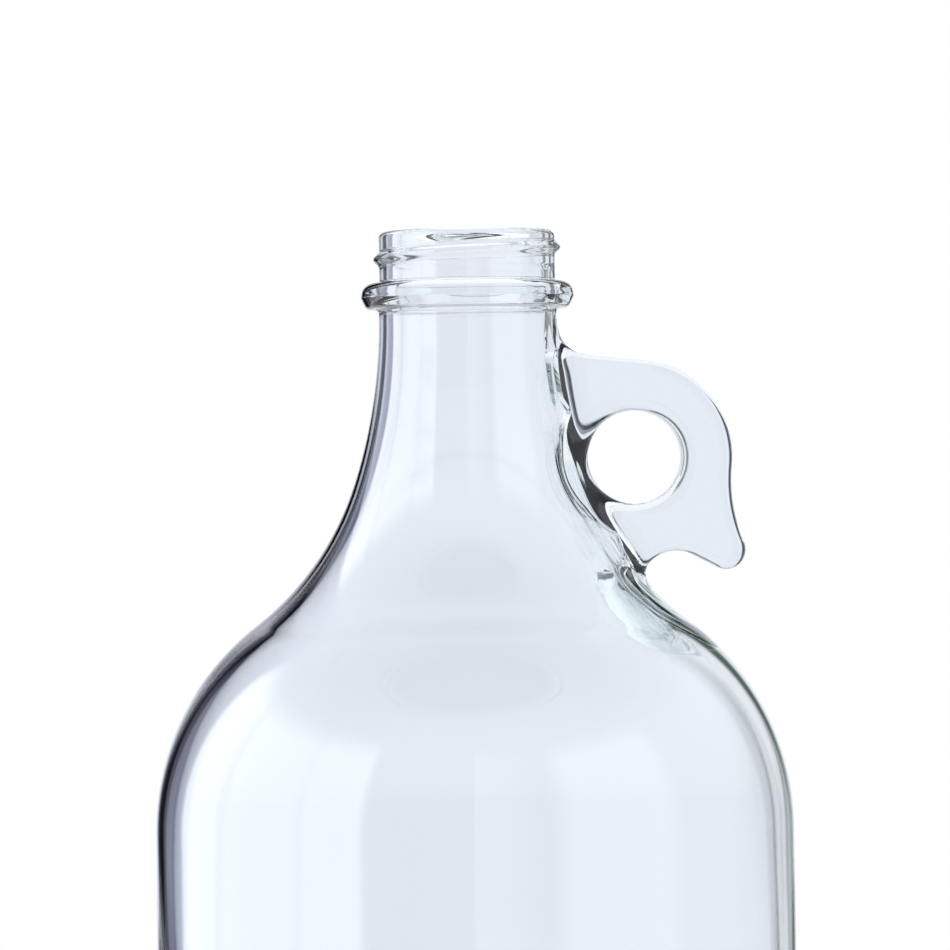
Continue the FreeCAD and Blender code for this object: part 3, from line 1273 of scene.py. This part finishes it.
@dataclass(frozen=True)
class GlassFinish:
    """Clear flint glass with a faint green edge."""

    name: str = "clear_glass"
    surface: tuple[float, float, float, float] = (0.985, 0.992, 0.99, 1.0)
    refraction: float = 1.52
    depth_colour: tuple[float, float, float, float] = (0.55, 0.76, 0.76, 1.0)
    depth_density: float = 14.0
    ripple_scale: float = 38.0
    ripple_detail: float = 2.0
    ripple_height: float = 0.00002

    def material(self) -> bpy.types.Material:
        """Builds the node material.

        Returns:
            The material.
        """
        material = bpy.data.materials.new(self.name)
        material.use_nodes = True
        material.node_tree.nodes.clear()
        wiring = Wiring(material.node_tree)
        place = wiring.add("ShaderNodeTexCoord").outputs["Object"]
        ripple = wiring.add("ShaderNodeTexNoise")
        wiring.fill(ripple, Vector=place, Scale=self.ripple_scale, Detail=self.ripple_detail)
        bump = wiring.add("ShaderNodeBump")
        wiring.fill(bump, Height=ripple.outputs[0], Strength=1.0, Distance=self.ripple_height)
        glass = wiring.fill(
            wiring.add("ShaderNodeBsdfPrincipled"), Base_Color=self.surface, Roughness=0.0,
            IOR=self.refraction, Transmission_Weight=1.0, Normal=bump.outputs[0],
        )
        depth = wiring.fill(
            wiring.add("ShaderNodeVolumeAbsorption"), Color=self.depth_colour, Density=self.depth_density
        )
        output = wiring.add("ShaderNodeOutputMaterial")
        wiring.fill(output, Surface=glass.outputs[0], Volume=depth.outputs[0])
        return material


@dataclass(frozen=True)
class Wave:
    """One slow wave round and up the inner wall, in millimetres and radians."""

    height: float
    lobes: int
    climb: float
    start: float = 0.0


@dataclass
class JugBuilder:
    """Builds the jug's one glass mesh, with its sizes in millimetres."""

    form: GlassForm
    thread: Thread = Thread()
    relax_rounds: int = 40
    outside_end_depth: float = 84.0
    inside_end_depth: float = 92.0
    weld: float = 0.02
    weld_rounds: int = 2
    waves: tuple[Wave, ...] = (
        Wave(0.10, 2, 31), Wave(0.07, 3, -19, 1.3), Wave(0.05, 5, 13, 0.6), Wave(0.05, 2, 9),
    )
    calm_depth: float = 12.0
    growth_depth: float = 25.0
    growth_height: float = 20.0
    growth_radius: float = 12.0

    def ripples(self, points: Points) -> Points:
        """The slow unevenness of the pressed and blown inner wall.

        Args:
            points: the inner wall's points.

        Returns:
            The points moved outwards or inwards, with the mouth and the middle of the floor calm.
        """
        angle = np.arctan2(points[:, 1], points[:, 0])
        z = points[:, 2]
        wave = sum(
            each.height * np.sin(each.lobes * angle + z / each.climb + each.start) for each in self.waves
        )
        depth = self.form.vessel.height - z
        radius = np.hypot(points[:, 0], points[:, 1])
        wave *= np.clip((depth - self.calm_depth) / self.growth_depth, 0, 1)
        wave *= np.clip(z / self.growth_height, 0, 1) * np.clip(radius / self.growth_radius, 0, 1)
        outward = np.stack([np.cos(angle), np.sin(angle), np.zeros_like(angle)], axis=1)
        return points + outward * wave[:, None]

    def patches(self, spinner: Spinner, glass: bpy.types.Material) -> list[Patch]:
        """Every patch of the skin.

        Args:
            spinner: the node group that turns outlines.
            glass: the material.

        Returns:
            The patches in millimetres, outside then inside.
        """
        height = self.form.vessel.height
        outside = self.form.outside().samples()
        inside = self.form.inside().samples()
        below_rim = int(np.argmax(outside[:, 1])) + 1
        depth = height - outside[:, 1]
        depth[:below_rim] = 0
        neck = int(np.argmax(depth >= self.form.finish.neck_depth - ROUNDING))
        shoulder = int(np.argmax(depth >= self.outside_end_depth))
        hollow_end = int(np.argmax(height - inside[:, 1] >= self.inside_end_depth))
        outer_zone = HandleZone(self.form, outside[neck:shoulder + 1]).build(self.relax_rounds)
        inner_zone = HollowZone(self.form, inside[:hollow_end + 1]).build(self.relax_rounds)
        body = spinner.turned(outside[shoulder:], self.thread, self.form, glass)
        finish = spinner.turned(outside[:neck + 1], self.thread, self.form, glass)
        hollow = spinner.turned(inside[hollow_end:], self.thread, self.form, glass)
        inner_zone.points = self.ripples(inner_zone.points)
        hollow.points = self.ripples(hollow.points)
        return [finish, outer_zone, body, inner_zone, hollow]

    def build(self, spinner: Spinner, glass: bpy.types.Material) -> bpy.types.Object:
        """Welds the patches into one closed mesh.

        Args:
            spinner: the node group that turns outlines.
            glass: the material.

        Returns:
            The jug's object, at the origin and in metres.
        """
        skin = bmesh.new()
        for patch in self.patches(spinner, glass):
            corners = [skin.verts.new(point) for point in patch.points * MM]
            for face in patch.faces.tolist():
                skin.faces.new([corners[index] for index in dict.fromkeys(face)])
        for _ in range(self.weld_rounds):
            bmesh.ops.remove_doubles(skin, verts=skin.verts, dist=self.weld * MM)
        bmesh.ops.recalc_face_normals(skin, faces=skin.faces)
        mesh = bpy.data.meshes.new("glass_jug")
        skin.to_mesh(mesh)
        open_edges = sum(1 for edge in skin.edges if not edge.is_manifold)
        LOG.info("glass_jug: %d faces, %d open edges", len(skin.faces), open_edges)
        skin.free()
        mesh.materials.append(glass)
        mesh.polygons.foreach_set("use_smooth", [True] * len(mesh.polygons))
        jug = bpy.data.objects.new("glass_jug", mesh)
        bpy.context.scene.collection.objects.link(jug)
        return jug


# ---------------------------------------------------------------------------
# Studio
# ---------------------------------------------------------------------------


@dataclass(frozen=True)
class Panel:
    """A tall soft light far away.

    Its edges are in degrees round the jug from straight ahead, and its top is the share of straight
    up that it reaches.
    """

    left: float
    right: float
    softness: float
    brightness: float
    top: float = 0.62
    top_softness: float = 0.08


@dataclass(frozen=True)
class Camera:
    """A long lens level with the neck.

    The lens and the sensor are in millimetres, the place in metres and the tip in degrees.
    """

    lens: float = 176.2
    sensor: float = 36.0
    place: tuple[float, float, float] = (0.001, -0.927, 0.2114)
    tip_deg: float = 0.85

    def build(self) -> None:
        """Sets the camera up, level and tipped slightly to one side."""
        lens = bpy.data.cameras.new("camera")
        lens.lens = self.lens
        lens.sensor_width = self.sensor
        tip = math.radians(self.tip_deg)
        right = Vector((math.cos(tip), 0.0, -math.sin(tip)))
        up = Vector((math.sin(tip), 0.0, math.cos(tip)))
        back = Vector((0.0, -1.0, 0.0))
        turned = Matrix((right, up, back)).transposed().to_4x4()
        holder = bpy.data.objects.new("camera", lens)
        holder.matrix_world = Matrix.Translation(self.place) @ turned
        bpy.context.scene.collection.objects.link(holder)
        bpy.context.scene.camera = holder


@dataclass(frozen=True)
class Overhead:
    """A broad lamp above that lights the table and stays out of the glass, in metres and watts."""

    size: float = 1.4
    power: float = 10.0
    height: float = 1.6

    def build(self) -> None:
        """Sets the lamp up over the jug."""
        lamp = bpy.data.lights.new("overhead", "AREA")
        lamp.shape = "DISK"
        lamp.size = self.size
        lamp.energy = self.power
        holder = bpy.data.objects.new("overhead", lamp)
        holder.location = (0.0, 0.0, self.height)
        holder.visible_glossy = False
        holder.visible_transmission = False
        bpy.context.scene.collection.objects.link(holder)


@dataclass(frozen=True)
class Table:
    """A round white table top that fades into the surroundings, in metres."""

    radius: float = 0.9
    sides: int = 96
    fade_from: float = 0.25
    fade_share: float = 0.8
    white: tuple[float, float, float, float] = (0.93, 0.93, 0.94, 1.0)

    def material(self) -> bpy.types.Material:
        """Builds the node material.

        Returns:
            White that takes the jug's shadow in the middle and shines as plain white further out.
        """
        material = bpy.data.materials.new("white_table")
        material.use_nodes = True
        material.node_tree.nodes.clear()
        wiring = Wiring(material.node_tree)
        place = wiring.add("ShaderNodeTexCoord").outputs["Object"]
        away = wiring.add("ShaderNodeVectorMath", operation="LENGTH")
        wiring.feed(away.inputs[0], place)
        fade = wiring.ramp(away.outputs["Value"], self.fade_from, self.radius * self.fade_share)
        top = wiring.fill(wiring.add("ShaderNodeBsdfDiffuse"), Color=self.white)
        glow = wiring.fill(wiring.add("ShaderNodeEmission"), Color=PLAIN_WHITE, Strength=1.0)
        surface = wiring.either(fade, top, glow)
        wiring.fill(wiring.add("ShaderNodeOutputMaterial"), Surface=surface)
        return material

    def build(self) -> bpy.types.Object:
        """Sets the table top under the jug.

        Returns:
            The table top's object.
        """
        bpy.ops.mesh.primitive_circle_add(vertices=self.sides, radius=self.radius, fill_type="NGON")
        floor = bpy.context.object
        floor.name = "floor"
        floor.data.materials.append(self.material())
        return floor


class Surroundings:
    """White to the camera, with light panels and dark gaps all round for the glass to show.

    The bands are tones by degrees round the jug from straight ahead, positive to the right. A view
    through the hollow crosses glass four times and shows mostly the clear tone, so the bands show
    in reflections and in the solid glass at the edges.
    """

    PANELS = (Panel(-139.0, -50.0, 5.0, 2.4), Panel(103.0, 150.0, 12.0, 1.1))
    PANEL_TONE = (0.85, 0.88, 0.96, 1.0)
    CLEAR_TONE = (0.84, 0.87, 0.96, 1.0)
    CLEAR_SHARE = 0.85
    WALL_CROSSINGS = 3.5
    CEILING = (0.50, 0.51, 0.58, 1.0)
    CEILING_FROM, CEILING_FULL = 0.50, 0.75
    BANDS = (
        (-180, (0.42, 0.43, 0.48)),
        (-142, (0.42, 0.43, 0.48)),
        (-136, (0.85, 0.88, 0.96)),
        (-113, (0.85, 0.88, 0.96)),
        (-110, (0.12, 0.12, 0.15)),
        (-106, (0.85, 0.88, 0.96)),
        (-74, (0.85, 0.88, 0.96)),
        (-70, (0.12, 0.12, 0.15)),
        (-67, (0.85, 0.88, 0.96)),
        (-51, (0.85, 0.88, 0.96)),
        (-48, (0.15, 0.16, 0.27)),
        (-37, (0.15, 0.16, 0.27)),
        (-34, (0.26, 0.27, 0.34)),
        (-30, (0.25, 0.26, 0.32)),
        (-28, (0.01, 0.01, 0.02)),
        (-18, (0.01, 0.01, 0.02)),
        (-16, (0.40, 0.41, 0.47)),
        (-12, (0.83, 0.86, 0.95)),
        (12, (0.86, 0.89, 0.98)),
        (15, (0.60, 0.64, 0.63)),
        (17, (0.10, 0.14, 0.12)),
        (22, (0.10, 0.14, 0.12)),
        (24, (0.84, 0.87, 0.92)),
        (34, (0.86, 0.89, 0.94)),
        (37, (0.24, 0.25, 0.27)),
        (43, (0.24, 0.25, 0.27)),
        (46, (0.80, 0.83, 0.90)),
        (140, (0.80, 0.83, 0.90)),
        (150, (0.42, 0.43, 0.48)),
        (180, (0.42, 0.43, 0.48)),
    )

    def panel_share(
        self, wiring: Wiring, panel: Panel, azimuth: object, rise: object, path: bpy.types.Node
    ) -> bpy.types.NodeSocket:
        """How much of a panel shows in one direction.

        Args:
            wiring: the world's wiring.
            panel: the panel.
            azimuth: the direction round the jug in radians.
            rise: the direction's height, from -1 to 1.
            path: the Light Path node, since the panels show in reflections only.

        Returns:
            The share, from 0 to 1.
        """
        sums = wiring.math
        half = math.radians(panel.softness) / 2
        left, right = math.radians(panel.left), math.radians(panel.right)
        within = wiring.ramp(azimuth, left - half, left + half)
        within = sums("MULTIPLY", within, wiring.ramp(azimuth, right + half, right - half))
        below = wiring.ramp(rise, panel.top + panel.top_softness, panel.top - panel.top_softness)
        within = sums("MULTIPLY", within, below)
        reflected = sums("SUBTRACT", 1.0, path.outputs["Is Transmission Ray"])
        return sums("MULTIPLY", within, reflected)

    def banded(self, wiring: Wiring, azimuth: object) -> bpy.types.NodeSocket:
        """The tone of the bands in one direction.

        Args:
            wiring: the world's wiring.
            azimuth: the direction round the jug in radians.

        Returns:
            The tone.
        """
        around = wiring.add("ShaderNodeValToRGB")
        wiring.feed(around.inputs[0], wiring.math("MULTIPLY_ADD", azimuth, 0.5 / math.pi, 0.5))
        stops = around.color_ramp.elements
        for index, (degrees, colour) in enumerate(self.BANDS):
            place = 0.5 + degrees / 360
            stop = stops.new(place) if index else stops[0]
            stop.position = place
            stop.color = (*colour, 1.0)
        stops.remove(stops[-1])
        return around.outputs[0]

    def build(self) -> None:
        """Joins up the world's nodes."""
        world = bpy.data.worlds.new("studio")
        world.use_nodes = True
        world.node_tree.nodes.clear()
        wiring = Wiring(world.node_tree)
        sums = wiring.math
        toward = wiring.add("ShaderNodeTexCoord").outputs["Generated"]
        parts = wiring.fill(wiring.add("ShaderNodeSeparateXYZ"), Vector=toward).outputs
        azimuth, rise = sums("ARCTAN2", parts[0], parts[1]), parts[2]
        upward = wiring.ramp(rise, self.CEILING_FROM, self.CEILING_FULL)
        seen = wiring.mix(upward, self.banded(wiring, azimuth), self.CEILING)
        path = wiring.add("ShaderNodeLightPath")
        straight = sums("GREATER_THAN", path.outputs["Transmission Depth"], self.WALL_CROSSINGS)
        seen = wiring.mix(sums("MULTIPLY", straight, self.CLEAR_SHARE), seen, self.CLEAR_TONE)
        strength = 1.0
        for panel in self.PANELS:
            share = self.panel_share(wiring, panel, azimuth, rise, path)
            strength = sums("MULTIPLY_ADD", share, panel.brightness, strength)
            seen = wiring.mix(share, seen, self.PANEL_TONE)
        studio = wiring.fill(wiring.add("ShaderNodeBackground"), Color=seen, Strength=strength)
        plain = wiring.fill(wiring.add("ShaderNodeBackground"), Color=PLAIN_WHITE, Strength=1.0)
        surface = wiring.either(path.outputs["Is Camera Ray"], studio, plain)
        wiring.fill(wiring.add("ShaderNodeOutputWorld"), Surface=surface)
        bpy.context.scene.world = world


def studio() -> bpy.types.Object:
    """Sets up everything round the jug.

    Returns:
        The table top's object.
    """
    Surroundings().build()
    Overhead().build()
    Camera().build()
    bpy.context.scene.view_settings.view_transform = "Standard"
    return Table().build()


def main() -> None:
    """Loads the frame, dresses the jug in glass and sets up the studio."""
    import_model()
    low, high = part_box("jug")
    form = GlassForm(Vessel((high[2] - low[2]) / MM, -low[1] / MM))
    jug = JugBuilder(form).build(Spinner(), GlassFinish().material())
    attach(jug, "root")
    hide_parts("jug")
    studio()


if __name__ == "__main__":
    logging.basicConfig(level=logging.INFO)
    main()
